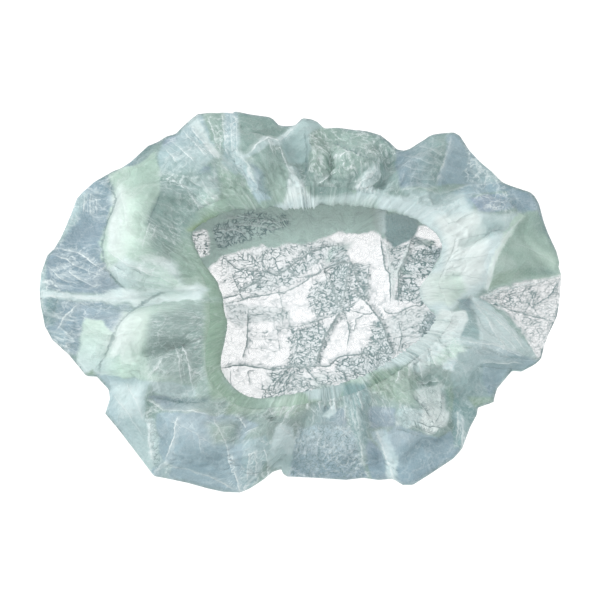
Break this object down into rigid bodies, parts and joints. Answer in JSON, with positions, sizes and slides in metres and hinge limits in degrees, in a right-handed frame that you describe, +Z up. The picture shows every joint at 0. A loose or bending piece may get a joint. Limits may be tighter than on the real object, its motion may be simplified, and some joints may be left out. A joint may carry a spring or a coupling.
{
  "type": "bouffant cap",
  "caption": "Disposable bouffant cap of thin round cloth gathered into an elastic hem, lying crown down with its oval opening up and its billows spread around it.",
  "frame": {"origin": "middle of the cap's footprint, on the surface that the crown lies on", "axes": "+X along the cap's longest side, to the right of the picture's view; +Y away from the viewer; +Z up, out of the opening"},
  "size_m": [0.3744, 0.286, 0.0567],
  "materials": {
    "cap_cloth": "thin sheer non-woven cloth, pale mint, matte",
    "hem_cloth": "the same cloth in closely gathered layers, so deeper in colour",
    "elastic": "matte off-white"
  },
  "bodies": {
    "root": {"cap_sheet": "cap_cloth", "folded_hem": "hem_cloth", "elastic_band": "elastic"}
  },
  "joints": []
}
